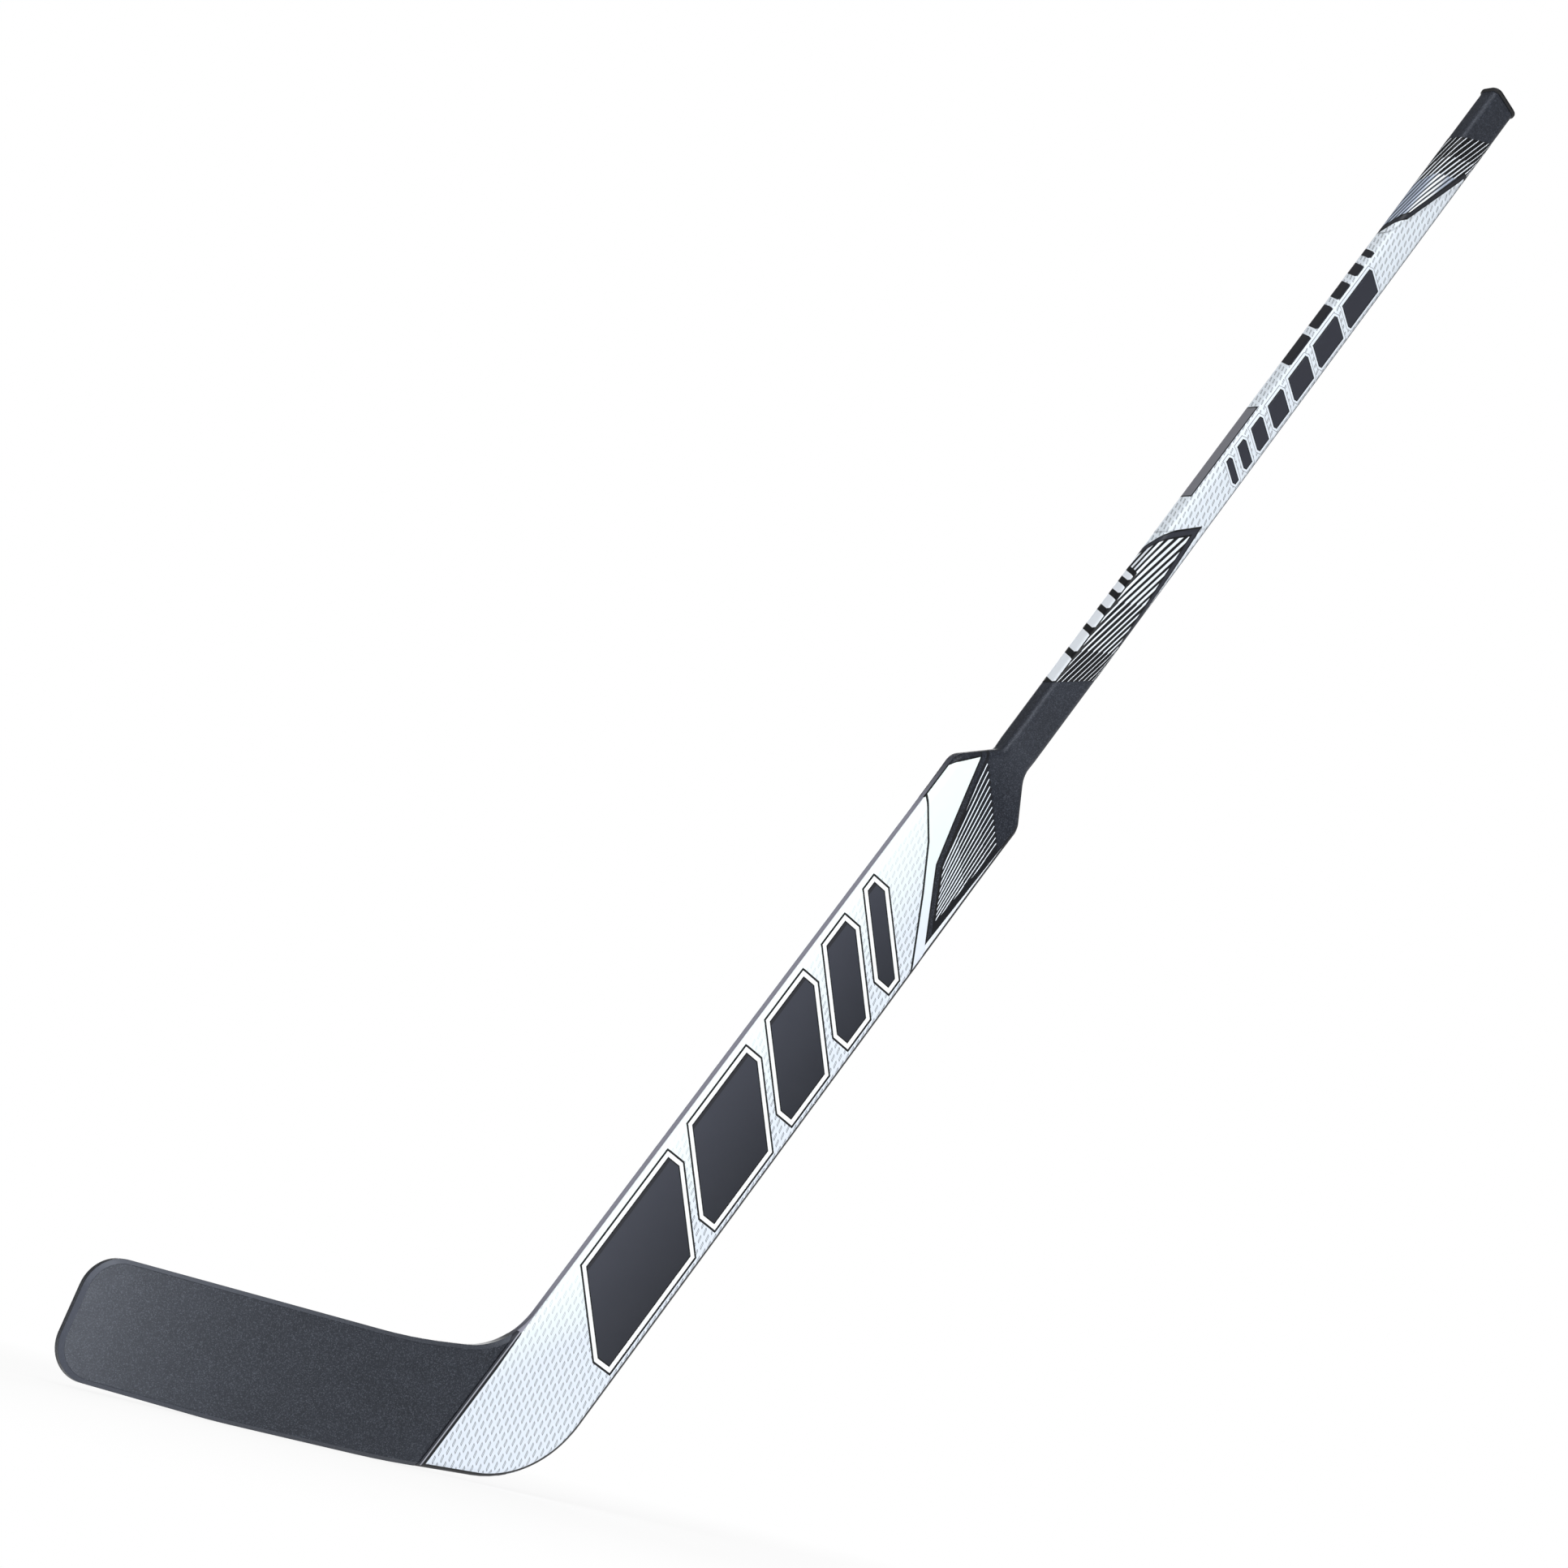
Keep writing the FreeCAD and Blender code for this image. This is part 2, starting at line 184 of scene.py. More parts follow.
def slant_bar(first, last, toe_edge, heel_edge, slant, cut):
    """Corners of a slanted bar that runs from one height to another, with its two sharp corners cut off."""
    outline = [
        (toe_edge, first),
        (heel_edge - cut, first),
        (heel_edge, first + cut_rise * cut),
        (heel_edge, last),
        (toe_edge + cut, last),
        (toe_edge, last - cut_rise * cut),
    ]
    return [(across, height + slant * across) for across, height in outline]


def bar_row(tree, place, start, lengths, gap, toe_edge, heel_edge, slant, cut):
    """A row of slanted bars of graded lengths up the stick: how far a point lies outside them."""
    bars = []
    for length in lengths:
        bars.append(panel(tree, place, slant_bar(start, start + length, toe_edge, heel_edge, slant, cut)))
        start += length + gap
    return joined(tree, bars, "MINIMUM")


# The small printed lozenges. Their real outlines are too fine to show, so they are drawn about 0.5 mm wide.
tick_lean = 0.25
tick_slant = 0.55
tick_half_width = 0.5
tick_half_length = 1.9
tick_line = 0.24


def ticks(tree, across, up, pitch, row_pitch, row_shift):
    """Outlines of small slanted lozenges in staggered rows: how far a point is from an outline."""
    row = node(tree, "Math", across, row_pitch, operation="DIVIDE")
    number = node(tree, "Math", row, operation="FLOOR")
    in_row = node(tree, "Math", node(tree, "Math", row, operation="FRACT"), row_pitch, -0.5 * row_pitch,
                  operation="MULTIPLY_ADD")
    climb = node(tree, "Math", up, 1.0 / pitch, operation="MULTIPLY")
    column = node(tree, "Math", number, row_shift, climb, operation="MULTIPLY_ADD")
    along = node(tree, "Math", node(tree, "Math", column, operation="FRACT"), pitch, -0.5 * pitch,
                 operation="MULTIPLY_ADD")
    aside = node(tree, "Math", along, tick_lean, in_row, operation="MULTIPLY_ADD")
    slanted = node(tree, "Math", in_row, tick_slant, along, operation="MULTIPLY_ADD")
    beside = node(tree, "Math", node(tree, "Math", aside, operation="ABSOLUTE"), tick_half_width,
                  operation="SUBTRACT")
    beyond = node(tree, "Math", node(tree, "Math", slanted, operation="ABSOLUTE"), tick_half_length,
                  operation="SUBTRACT")
    outside = node(tree, "Math", beside, beyond, operation="MAXIMUM")
    return node(tree, "Math", outside, operation="ABSOLUTE")


# The hatch folds back at this line near the shaft's heel corner.
heel_fold = 14.0


def fan(tree, across, up, hub, spread):
    """Lines that fan out from a hub: a point's line number and how far across that line's middle is."""
    reach = node(tree, "Math", up, hub[1], operation="SUBTRACT")
    swing = node(tree, "Math", node(tree, "Math", across, hub[0], operation="SUBTRACT"), reach,
                 operation="DIVIDE")
    count = node(tree, "Math", swing, spread, operation="DIVIDE")
    middle = node(tree, "Math", node(tree, "Math", count, operation="FLOOR"), 0.5, operation="ADD")
    middle_swing = node(tree, "Math", middle, spread, operation="MULTIPLY")
    return count, node(tree, "Math", middle_swing, reach, hub[0], operation="MULTIPLY_ADD")


def graded(tree, across, up, lean, offset, growth):
    """Leaning lines whose pitch grows line by line and that fold back at the heel corner: a point's line
    number and how far across that line's middle is."""
    aside = node(tree, "Math", node(tree, "Math", across, heel_fold, operation="SUBTRACT"),
                 operation="ABSOLUTE")
    climb = node(tree, "Math", up, lean, offset, operation="MULTIPLY_ADD")
    count = node(tree, "Math", node(tree, "Math", aside, climb, operation="ADD"), growth,
                 operation="LOGARITHM")
    middle = node(tree, "Math", node(tree, "Math", count, operation="FLOOR"), 0.5, operation="ADD")
    past_fold = node(tree, "Math", node(tree, "Math", growth, middle, operation="POWER"), climb,
                     operation="SUBTRACT")
    return count, node(tree, "Math", heel_fold, past_fold, operation="SUBTRACT")


def hatch(tree, up, lines, slant, steps):
    """How far a point is outside a white line, as a share of the pitch, with the lines' widths stepping from
    one slanted zone to the next, and each line's own height on those zones. Real lines are 2 to 3 mm apart,
    too fine to show, so they are drawn 1.5 to 1.8 times as far apart."""
    count, line_across = lines
    level = node(tree, "Math", line_across, -slant, up, operation="MULTIPLY_ADD")
    white_share = steps[0][1]
    for (height, share), (_, before) in zip(steps[1:], steps):
        passed = node(tree, "Math", level, height, operation="GREATER_THAN")
        white_share = node(tree, "Math", passed, share - before, white_share, operation="MULTIPLY_ADD")
    in_pitch = node(tree, "Math", count, operation="FRACT")
    return node(tree, "Math", in_pitch, white_share, operation="SUBTRACT"), level


# Fine grain

# Noise settings, and the middle span of the noise that most tones follow.
noise_detail = 3.0
noise_roughness = 0.6
soft_span = (0.3, 0.7)


def mottle(tree, size, span=(0.0, 1.0), reach=(0.0, 1.0)):
    """Soft variation of that size in mm, with the span of the noise stretched over the reach."""
    noise = node(tree, "TexNoise", node(tree, "TexCoord", out=3), named={
        "Scale": mm_per_metre / size,
        "Detail": noise_detail,
        "Roughness": noise_roughness,
    })
    return node(tree, "MapRange", noise, *span, *reach)


# Lacquered carbon laminate: dark grey lacquer with metal flake over moulded carbon, which gives a satin sheen
# with sparkle. Real flakes are about 0.1 mm, too fine to show, so they are drawn about 0.6 mm apart.
flake_spacing = 0.6
flake_rarity = 4.0
tone_cloud = 30.0
lacquer_patch = 9.0
lacquer_grain = 1.5
satin_lacquer = ("#171a21", "#1f232b", "#666b78", 0.35)
matt_lacquer = ("#12151b", "#1a1d24", "#5a5f69", 0.5)


def flake_lacquer(tree, dark, light, flake, share):
    """Charcoal lacquer with a soft cloud of tone and a dense grain of flakes, each cell as bright as its own
    chance."""
    base = faded(tree, mottle(tree, tone_cloud), dark, light, *soft_span)
    cells = node(tree, "TexVoronoi", node(tree, "TexCoord", out=3), out=1,
                 named={"Scale": mm_per_metre / flake_spacing})
    bright = node(tree, "Math", node(tree, "SeparateXYZ", cells), flake_rarity, operation="POWER")
    shown = node(tree, "Math", bright, share, operation="MULTIPLY")
    return node(tree, "Mix", shown, out=2, named={6: base, 7: ink(flake)}, data_type="RGBA")


# The rounding of the tube's corners, in metres, and the length over which it starts above the paddle.
tube_corner = 0.003
corner_start = 12.0


def shaft_laminate():
    """The tube's satin lacquer, with its long corners rounded from just above the paddle."""
    made, tree = finish_named("shaft lacquer on carbon")
    up = stick_place(tree)[2]
    softness = node(tree, "MapRange", up, shaft_joint, shaft_joint + corner_start, 0.0, tube_corner)
    gloss = mottle(tree, lacquer_patch, soft_span, (0.40, 0.50))
    coat_over(tree, flake_lacquer(tree, *satin_lacquer), gloss, mottle(tree, lacquer_grain), relief=0.2,
              soft_edge=softness, Specular_IOR_Level=0.7, Specular_Tint=ink(cool_gleam))
    return made


# The blade's bevel is where the surface faces front or back by between these shares, and its top edge is
# where it also faces upward. The bevel's painted highlight grows toward the toe, and the rounding of edges
# fades toward the paddle.
bevel_facing = (0.4, 0.9)
top_facing = (0.3, 0.6)
highlight_reach = (-300.0, -100.0)
highlight_strength = (0.8, 0.3)
blade_corner = 0.0012
seam_approach = (-60.0, -51.0)


def blade_laminate():
    """The blade's matt lacquer, with a painted highlight that makes its bevelled edge paler, most on top and
    toward the toe.
    """
    made, tree = finish_named("blade matt lacquer on carbon")
    across = stick_place(tree)[0]
    colour = flake_lacquer(tree, *matt_lacquer)
    facing = node(tree, "SeparateXYZ", node(tree, "NewGeometry", out=3)).node.outputs
    side = node(tree, "Math", facing[1], operation="ABSOLUTE")
    # Painted highlight: the bevel is painted paler, palest where it faces upward and toward the toe.
    painted_bevel_highlight = faded(tree, facing[2], "#4c505b", "#62666f", *top_facing)
    highlight_share = node(tree, "MapRange", across, *highlight_reach, *highlight_strength)
    highlit_colour = node(tree, "Mix", highlight_share, out=2, named={6: colour, 7: painted_bevel_highlight}, data_type="RGBA")
    colour = paint(tree, colour, highlit_colour, (side, ">", bevel_facing[0]), (side, "<", bevel_facing[1]))
    softness = node(tree, "MapRange", across, *seam_approach, blade_corner, 0.0)
    gloss = mottle(tree, lacquer_patch, soft_span, (0.33, 0.39))
    coat_over(tree, colour, gloss, mottle(tree, lacquer_grain), relief=0.3, soft_edge=softness,
              Specular_IOR_Level=0.5, Specular_Tint=ink(cool_gleam))
    return made


# The dark panel at the top of the paddle: its borders, its hatched field's edge, and where the hatch ends.
toe_border = ((-50.0, 721.6), (-1.9, 560.0), (32.2, 510.6))
heel_border = ((32.7, 510.6), (36.7, 627.0))
field_edge = ((27.9, 530.0), (32.0, 598.0))
hatch_end = 634.6
border_line = 1.5
border_band = 5.0
border_width = 7.2
heel_border_line = 1.2


def dark_panel(tree, across, up, place, under, charcoal):
    """The paddle's dark panel: a charcoal border between black lines, a fan of white lines, then plain
    charcoal."""
    border = joined(tree, runs(tree, place, toe_border), "MAXIMUM")
    heel_side = edge(tree, place, *heel_border)
    field_side = edge(tree, place, *field_edge)
    colour = paint(tree, under, ink(black_ink), (border, "<", 0.0), (heel_side, "<", 0.0))
    colour = paint(tree, colour, charcoal, (border, "<", -border_line), (heel_side, "<", -heel_border_line))
    colour = paint(tree, colour, ink(black_ink), (border, "<", -border_band), (heel_side, "<", 0.0))
    lines, level = hatch(tree, up, fan(tree, across, up, hub=(36.0, 430.0), spread=0.0183), slant=-0.74,
                         steps=((0.0, 0.40), (589.0, 0.29), (618.0, 0.22)))
    inside = (border, "<", -border_width)
    colour = paint(tree, colour, ink("#e6edf5"), inside, (field_side, "<", 0.0), (level, "<", hatch_end),
                   (lines, "<", 0.0))
    return paint(tree, colour, charcoal, inside, (level, ">", hatch_end), (heel_side, "<", -heel_border_line))


# The painted sheen of grey on the paddle's edges fades at the throat and the shoulder. A white strip lies
# along the heel edge, and the lacquer's sheen grows from the shoulder to the tube.
throat_fade = (60.0, 120.0)
shoulder_fade = (575.0, 640.0)
sheen_depth = 5.6
low_edge_shade_depth = 6.6
heel_strip_end = 627.0
heel_strip_depth = 3.0
heel_edge_shade_line = 36.3
sheen_rise = (635.0, shaft_joint)
sheen_level = (0.3, 0.7)


def paddle_laminate():
    """The paddle's lacquer, printed past the end of its film, with a painted sheen of mid grey along its
    edges.
    """
    made, tree = finish_named("paddle lacquer on carbon")
    across, through, up = stick_place(tree)
    place = node(tree, "CombineXYZ", across, up, 1.0)
    charcoal = flake_lacquer(tree, *satin_lacquer)
    side = node(tree, "Math", through, operation="ABSOLUTE")
    # Painted sheen: a mid grey band along the paddle's edges.
    up_edge = node(tree, "MapRange", up, *throat_fade, 0.0, 1.0)
    down_edge = node(tree, "MapRange", up, *shoulder_fade, 1.0, 0.0)
    sheen_share = node(tree, "Math", up_edge, down_edge, operation="MULTIPLY")
    sheen_colour = node(tree, "Mix", sheen_share, out=2, named={6: charcoal, 7: ink(edge_sheen_grey)}, data_type="RGBA")
    colour = paint(tree, charcoal, sheen_colour, (side, "<", sheen_depth))
    # Painted shade: the low edges near the sole are painted black.
    colour = paint(tree, colour, ink(black_ink), (up, "<", throat_fade[0]), (side, "<", low_edge_shade_depth))

    # The white strip past the dark panel's heel border, with a black line of painted shade along the paddle's
    # rounded edge.
    strip = [
        (edge(tree, place, *heel_border), ">", 0.0),
        (up, "<", heel_strip_end),
        (side, ">", heel_strip_depth),
    ]
    colour = paint(tree, colour, ink("#e8eef5"), *strip)
    colour = paint(tree, colour, ink(black_ink), *strip, (across, ">", heel_edge_shade_line))
    colour = dark_panel(tree, across, up, place, colour, charcoal)
    gloss = mottle(tree, lacquer_patch, soft_span, (0.38, 0.48))
    sheen = node(tree, "MapRange", up, *sheen_rise, *sheen_level)
    coat_over(tree, colour, gloss, mottle(tree, lacquer_grain), relief=0.2, Specular_IOR_Level=sheen,
              Specular_Tint=ink(cool_gleam))
    return made


# Printed film: thin polyester with inks under a clear gloss, which gives an even, slightly soft shine.
film_patch = 12.0
film_grain = 0.9

# On the paddle the white cools and darkens away from the toe edge, which leans with the low part; the
# darkening is painted shade, and the ticks darken with it.
toe_lean = 0.55
toe_lean_end = 130.0
paddle_shade_span = (-115.0, -60.0)
tick_shade_span = (-115.0, -55.0)
tick_strength = (0.12, 0.95)

# The paddle's bars: how far their line, surround and rim reach, where they fade, and their darker toe edge.
bar_line = 4.8
bar_surround = 3.2
bar_rim = 1.0
bar_fade = (-36.0, 30.0)
bar_toe_edge = -32.8

# The fine line that bends twice on its way to the heel edge, and the plain pale panel past it, which darkens
# toward the heel as painted shade.
paddle_line = ((-50.0, 597.5), (-19.0, 567.4), (4.0, 536.4), (38.0, 485.4))
fine_half_line = 0.95
pale_shade_span = (-30.0, 25.0)

# The black line of painted shade round the heel's circle and along the sole, where the film turns round the
# rounded edge. Where the line starts and where the flat sole ends are in metres along the ground.
heel_centre = (-52.6, 61.3)
heel_radius = 93.0
heel_shade_start = 0.1468
heel_shade_rise = (-20.0, 60.0)
heel_shade_width = (2.0, 3.6)
sole_flat_end = 0.071
sole_rise = 0.0524
sole_shade_line = 2.3

# Strips along the toe edge, a painted sheen, and along the blade's seam below the throat: a black line of
# painted shadow, a pale bead of painted highlight where the film steps up from the blade, and lacquer.
toe_sheen_limit = -45.4
seam_shadow_rise = (45.0, 80.0)
seam_shadow_span = (-44.0, -45.4)
seam_step_highlight = -46.2
seam_lacquer = -47.2
shoulder_start = 590.0
shoulder_band = -44.8
shoulder_line = ((-26.9, 648.7), (-45.6, 623.0))
shoulder_black = -0.5
shoulder_charcoal = 0.7


def paddle_print():
    """Printed film on the paddle: white with small ticks, graded bars, a fine slanted line and part of the
    dark panel."""
    made, tree = finish_named("paddle printed film")
    flat_across, through, up = stick_place(tree)
    across = unrolled_across(tree, flat_across, through)
    place = node(tree, "CombineXYZ", across, up, 1.0)
    low_part = node(tree, "Math", up, toe_lean_end, operation="MINIMUM")
    off_toe_edge = node(tree, "Math", low_part, -toe_lean, across, operation="MULTIPLY_ADD")
    # Painted shade: the white ground and its ticks darken away from the toe edge.
    ground = faded(tree, off_toe_edge, "#eef8f8", "#dde5ef", *paddle_shade_span)
    strength = node(tree, "MapRange", off_toe_edge, *tick_shade_span, *tick_strength)
    tick_ink = node(tree, "Mix", strength, out=2, named={6: ground, 7: ink("#70767f")}, data_type="RGBA")
    marks = ticks(tree, across, up, pitch=6.9, row_pitch=4.8, row_shift=0.32)
    colour = paint(tree, ground, tick_ink, (marks, "<", tick_line))

    # The graded bars, each with a white surround inside a fine black line and a darker edge toward the toe.
    bars = bar_row(tree, place, start=116.0, lengths=(112.0, 80.0, 55.0, 36.0, 20.0), gap=19.0,
                   toe_edge=-36.0, heel_edge=29.0, slant=-0.75, cut=12.0)
    colour = paint(tree, colour, ink(black_ink), (bars, "<", bar_line))
    colour = paint(tree, colour, ink("#f1f4f6"), (bars, "<", bar_surround))
    colour = paint(tree, colour, ink(black_ink), (bars, "<", 0.0))
    colour = paint(tree, colour, ink("#2a2b31"), (bars, "<", -bar_rim))
    fill = faded(tree, across, "#3b3e48", "#262931", *bar_fade)
    colour = paint(tree, colour, fill, (bars, "<", -bar_rim), (across, ">", bar_toe_edge))

    past_line = joined(tree, runs(tree, place, paddle_line), "MINIMUM")
    # Painted shade: the pale panel darkens toward the heel.
    pale = faded(tree, across, "#ebf8f8", "#dfe7f3", *pale_shade_span)
    colour = paint(tree, colour, ink(black_ink), (past_line, "<", fine_half_line))
    colour = paint(tree, colour, pale, (past_line, "<", -fine_half_line))
    charcoal = flake_lacquer(tree, *satin_lacquer)
    colour = dark_panel(tree, across, up, place, colour, charcoal)

    # Fine black lines of painted shade round the heel and along the sole.
    heelward = node(tree, "Math", flat_across, heel_centre[0], operation="SUBTRACT")
    downward = node(tree, "Math", up, heel_centre[1], operation="SUBTRACT")
    from_centre = node(tree, "CombineXYZ", node(tree, "Math", heelward, 0.0, operation="MAXIMUM"),
                       node(tree, "Math", downward, 0.0, operation="MINIMUM"), 0.0)
    outward = node(tree, "VectorMath", from_centre, out=1, operation="LENGTH")
    rolled = node(tree, "Math", node(tree, "Math", across, flat_across, operation="SUBTRACT"),
                  operation="ABSOLUTE")
    off_heel = node(tree, "Math", heel_radius, node(tree, "Math", outward, rolled, operation="ADD"),
                    operation="SUBTRACT")
    along, _, height = node(tree, "SeparateXYZ", node(tree, "TexCoord", out=3)).node.outputs
    shade_width = node(tree, "MapRange", up, *heel_shade_rise, *heel_shade_width)
    colour = paint(tree, colour, ink(black_ink), (off_heel, "<", shade_width), (along, ">", heel_shade_start))
    past_flat = node(tree, "Math", node(tree, "Math", along, sole_flat_end, operation="SUBTRACT"), 0.0,
                     operation="MAXIMUM")
    off_rise = node(tree, "Math", past_flat, -sole_rise, height, operation="MULTIPLY_ADD")
    off_sole = node(tree, "Math", node(tree, "Math", off_rise, mm_per_metre, operation="MULTIPLY"), rolled,
                    operation="SUBTRACT")
    colour = paint(tree, colour, ink(black_ink), (off_sole, "<", sole_shade_line))

    # The painted grey sheen on the toe edge, the strips of painted shadow and highlight along the blade's
    # seam, and a dark band along the shoulder.
    # Painted sheen: the film's toe edge is painted mid grey.
    colour = paint(tree, colour, ink(edge_sheen_grey), (across, "<", toe_sheen_limit), (up, ">", throat_height))
    # Painted shadow and highlight: a black line and a pale bead where the film steps up from the blade.
    shadow_edge = node(tree, "MapRange", up, *seam_shadow_rise, *seam_shadow_span)
    for limit, shade in ((shadow_edge, black_ink), (seam_step_highlight, "#9a9ca6"), (seam_lacquer, "#2d3038")):
        colour = paint(tree, colour, ink(shade), (across, "<", limit), (up, "<", throat_height))
    colour = paint(tree, colour, ink(black_ink), (across, "<", shoulder_band), (up, ">", shoulder_start))
    past_shoulder = edge(tree, place, *shoulder_line)
    colour = paint(tree, colour, ink(black_ink), (past_shoulder, ">", shoulder_black))
    colour = paint(tree, colour, charcoal, (past_shoulder, ">", shoulder_charcoal))
    gloss = mottle(tree, film_patch, soft_span, (0.32, 0.40))
    coat_over(tree, colour, gloss, mottle(tree, film_grain), relief=0.12, Specular_IOR_Level=0.3)
    return made


# Lines that the shaft's print turns at, round the shaft and up it, from one edge of the film to the other.
lower_rim = ((7.4, 932.0), (-15.6, 902.5), (-35.6, 882.0), (-50.8, 903.0))
lower_heel_rim = ((50.8, 903.0), (35.6, 788.0), (15.6, 806.0), (7.4, 932.0))
top_rim = ((-50.8, 1298.0), (-35.6, 1248.0), (-9.9, 1273.7), (11.0, 1347.5), (35.6, 1348.0), (50.8, 1298.0))
grey_bar = [(-35.0, 942.5), (-18.6, 942.5), (-18.6, 1045.5), (-35.0, 1045.5)]

# Measures of the print on the shaft. A stretch under one makes a rim's lines wider.
shaft_cooling = (-20.0, 10.0)
shaft_tick_strength = 0.9
heel_corner_shade = (13.4, 15.4)
front_bar_line = 2.3
front_bar_surround = 1.8
front_bar_rim = 0.8
grey_bar_line = 1.4
lower_stretch = 0.74
lower_line = 1.0
lower_band = 3.8
lower_width = 4.8
top_side_stretch = 0.6
top_line = 0.8
top_band = 3.2
top_width = 4.1
top_dark_start = (1337.0, 1338.0)
toe_corner = -9.0
corner_highlight_fade = (3.0, 7.0)
shaft_film_corner = 0.0025


def shaft_print():
    """Printed film round the shaft: a hatched lower end, a white length with ticks and bars, hatched top."""
    made, tree = finish_named("shaft printed film")
    across, through, up = stick_place(tree)
    round_shaft = wrapped_across(tree, across, through)
    place = node(tree, "CombineXYZ", round_shaft, up, 1.0)
    ground = faded(tree, round_shaft, "#dfe7ef", "#dde5ee", *shaft_cooling)
    tick_ink = node(tree, "Mix", shaft_tick_strength, out=2, named={6: ground, 7: ink("#565b64")},
                    data_type="RGBA")
    marks = ticks(tree, round_shaft, up, pitch=7.25, row_pitch=5.1, row_shift=0.36)
    colour = paint(tree, ground, tick_ink, (marks, "<", tick_line))
    # Painted shade: a dark grey line along the shaft's heel corner.
    colour = paint(tree, colour, ink("#43474f"), (round_shaft, ">", heel_corner_shade[0]),
                   (round_shaft, "<", heel_corner_shade[1]))

    # White length: bars up the front and back, dark bars and one long grey bar up the toe side.
    bars = bar_row(tree, node(tree, "CombineXYZ", across, up, 1.0), start=982.0,
                   lengths=(8.0, 12.0, 17.0, 23.0, 30.0, 38.0, 47.0), gap=9.0,
                   toe_edge=-10.5, heel_edge=9.0, slant=-0.42, cut=3.0)
    colour = paint(tree, colour, ink("#8b9098"), (bars, "<", front_bar_line))
    colour = paint(tree, colour, ground, (bars, "<", front_bar_surround))
    colour = paint(tree, colour, ink(black_ink), (bars, "<", 0.0))
    colour = paint(tree, colour, ink(rim_charcoal), (bars, "<", -front_bar_rim))
    long_bar = panel(tree, place, grey_bar)
    colour = paint(tree, colour, ink(black_ink), (long_bar, "<", 0.0))
    colour = paint(tree, colour, ink("#77787f"), (long_bar, "<", -grey_bar_line))
    side_bars = bar_row(tree, place, start=1085.0, lengths=(34.0, 26.0, 19.0, 13.0, 8.0), gap=9.0,
                        toe_edge=-35.0, heel_edge=-16.6, slant=-0.43, cut=3.0)
    colour = paint(tree, colour, ink("#24252b"), (side_bars, "<", 0.0))

    # Hatched lower end: a charcoal border between black lines, leaning lines, white bars up the toe side.
    rim = joined(tree, runs(tree, place, lower_rim), "MINIMUM")
    rim = node(tree, "Math", rim, lower_stretch, operation="MULTIPLY")
    heel_rim = joined(tree, runs(tree, place, lower_heel_rim), "MINIMUM")
    dark = joined(tree, [rim, heel_rim], "MAXIMUM")
    colour = paint(tree, colour, ink(black_ink), (dark, "<", 0.0))
    colour = paint(tree, colour, ink(rim_charcoal), (dark, "<", -lower_line))
    colour = paint(tree, colour, ink(black_ink), (dark, "<", -lower_band))
    lines, _ = hatch(tree, up, graded(tree, round_shaft, up, lean=0.185, offset=-106.8, growth=1.0658),
                     slant=0.80, steps=((0.0, 0.17), (786.0, 0.35), (838.0, 0.49)))
    colour = paint(tree, colour, ink("#e8eef6"), (lines, "<", 0.0), (dark, "<", -lower_width))
    black_bar = slant_bar(first=700.0, last=850.0, toe_edge=-40.0, heel_edge=-15.8, slant=-0.5, cut=3.0)
    colour = paint(tree, colour, ink(black_ink), (panel(tree, place, black_bar), "<", 0.0))
    low_bars = bar_row(tree, place, start=729.0, lengths=(26.0, 20.0, 15.0, 11.0, 8.0, 6.0), gap=6.0,
                       toe_edge=-38.0, heel_edge=-17.4, slant=-0.5, cut=3.0)
    colour = paint(tree, colour, ink("#e2e8ef"), (low_bars, "<", 0.0))

    # Hatched top: a black border that climbs across the front, then lines, grey on white and white on black.
    climbs = runs(tree, place, top_rim)
    climbs[1] = node(tree, "Math", climbs[1], top_side_stretch, operation="MULTIPLY")
    top = joined(tree, climbs[:2] + [joined(tree, climbs[2:], "MINIMUM")], "MAXIMUM")
    colour = paint(tree, colour, ink(black_ink), (top, "<", 0.0))
    colour = paint(tree, colour, ink("#2b2d33"), (top, "<", -top_line))
    colour = paint(tree, colour, ink(black_ink), (top, "<", -top_band))
    lines, level = hatch(tree, up, graded(tree, round_shaft, up, lean=0.257, offset=-311.9, growth=1.0735),
                         slant=0.69, steps=((0.0, 0.54), (1337.0, 0.32), (1359.0, 0.17)))
    between = faded(tree, level, "#3a404b", black_ink, *top_dark_start)
    colour = paint(tree, colour, between, (top, "<", -top_width))
    # Painted highlight: the white lines are palest where the toe corner's rounding starts, bluish grey away
    # from it.
    off_corner = node(tree, "Math", node(tree, "Math", round_shaft, toe_corner, operation="SUBTRACT"),
                      operation="ABSOLUTE")
    corner_highlit_lines = faded(tree, off_corner, "#f0f2f4", "#aab5c7", *corner_highlight_fade)
    past_start = node(tree, "MapRange", level, *top_dark_start, 0.0, 1.0)
    white = node(tree, "Mix", past_start, out=2, named={6: corner_highlit_lines, 7: ink("#e6ecf4")}, data_type="RGBA")
    colour = paint(tree, colour, white, (lines, "<", 0.0), (top, "<", -top_width))
    gloss = mottle(tree, film_patch, soft_span, (0.28, 0.36))
    coat_over(tree, colour, gloss, mottle(tree, film_grain), relief=0.12, soft_edge=shaft_film_corner,
              Specular_IOR_Level=0.3)
    return made


# Moulded rubbery plastic of the butt plug: near black, with the fine spark-eroded grain of its mould.
plug_cloud = 5.0
plug_patch = 2.0
plug_grain = 0.7


def plug_plastic():
    made, tree = finish_named("moulded plug plastic")
    colour = faded(tree, mottle(tree, plug_cloud), "#101114", "#18191c", start=0.35, end=0.65)
    gloss = mottle(tree, plug_patch, soft_span, (0.42, 0.54))
    coat_over(tree, colour, gloss, mottle(tree, plug_grain), relief=0.3, Specular_IOR_Level=0.35)
    return made


# Core foam: rigid closed-cell foam, pale straw coloured, with open cut cells.
foam_cell = 0.9


